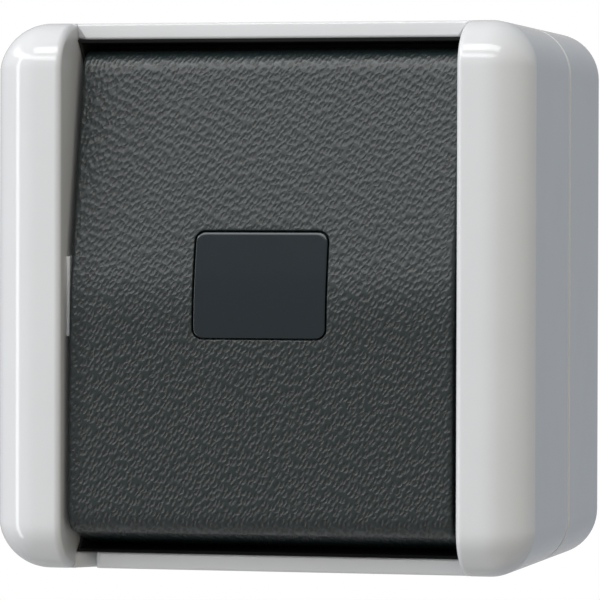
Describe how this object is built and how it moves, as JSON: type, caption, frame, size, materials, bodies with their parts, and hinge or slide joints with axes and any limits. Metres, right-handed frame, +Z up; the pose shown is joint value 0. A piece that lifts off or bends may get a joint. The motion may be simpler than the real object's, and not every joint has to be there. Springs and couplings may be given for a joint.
{
  "type": "pushbutton switch",
  "caption": "Surface-mounted splash-proof rocker pushbutton: light grey housing, dark grained rocker with a small smooth window.",
  "frame": {"origin": "middle of the back face, on the wall", "axes": "+X to the right, +Z up, the front faces -Y and the wall lies at Y = 0"},
  "size_m": [0.075, 0.053, 0.075],
  "materials": {
    "housing_grey": "moulded light grey plastic, softly glossy",
    "rocker_anthracite": "moulded dark grey plastic with a fine grain",
    "window_smoked": "smooth dark plastic, polished",
    "label_card": "dark card",
    "rubber_black": "moulded black rubber",
    "rubber_grey": "moulded grey rubber",
    "steel_zinc": "zinc-plated steel",
    "brass_bare": "stamped bare brass",
    "silver_contact": "silver alloy",
    "spring_steel": "drawn spring wire",
    "socket_moulding": "pressed thermoset",
    "plunger_moulding": "moulded natural plastic"
  },
  "bodies": {
    "housing": {"rear_box": "housing_grey", "cover_frame": "housing_grey", "box_seal": "rubber_black", "seal_membrane": "rubber_black", "cable_grommets": "rubber_grey", "cover_screws": "steel_zinc", "yoke_screws": "steel_zinc", "terminal_screws": "steel_zinc", "mounting_yoke": "steel_zinc", "socket_rivets": "brass_bare", "switch_socket": "socket_moulding", "socket_cover": "socket_moulding", "line_contact": "brass_bare", "load_contact": "brass_bare", "terminal_blocks": "brass_bare", "earth_terminal": "brass_bare", "fixed_contact_tips": "silver_contact", "return_spring": "spring_steel"},
    "rocker": {"rocker": "rocker_anthracite", "window_lens": "window_smoked", "label_insert": "label_card"},
    "plunger": {"plunger": "plunger_moulding", "moving_contact": "brass_bare", "moving_contact_tips": "silver_contact", "contact_spring": "spring_steel"}
  },
  "joints": [
    {"name": "rocker_press", "type": "hinge", "parent": "housing", "child": "rocker", "pos_m": [0, -0.041, 0], "axis": [1, 0, 0], "range_deg": [0, 6], "stiffness_Nm_per_rad": 0.35, "springref_deg": -8.59},
    {"name": "plunger_slide", "type": "slide", "parent": "housing", "child": "plunger", "axis": [0, 1, 0], "range_m": [0, 0.0015], "deforming": ["return_spring"]}
  ],
  "couplings": [
    {"joint": "plunger_slide", "follows": "rocker_press", "m_per_rad": 0.014}
  ]
}
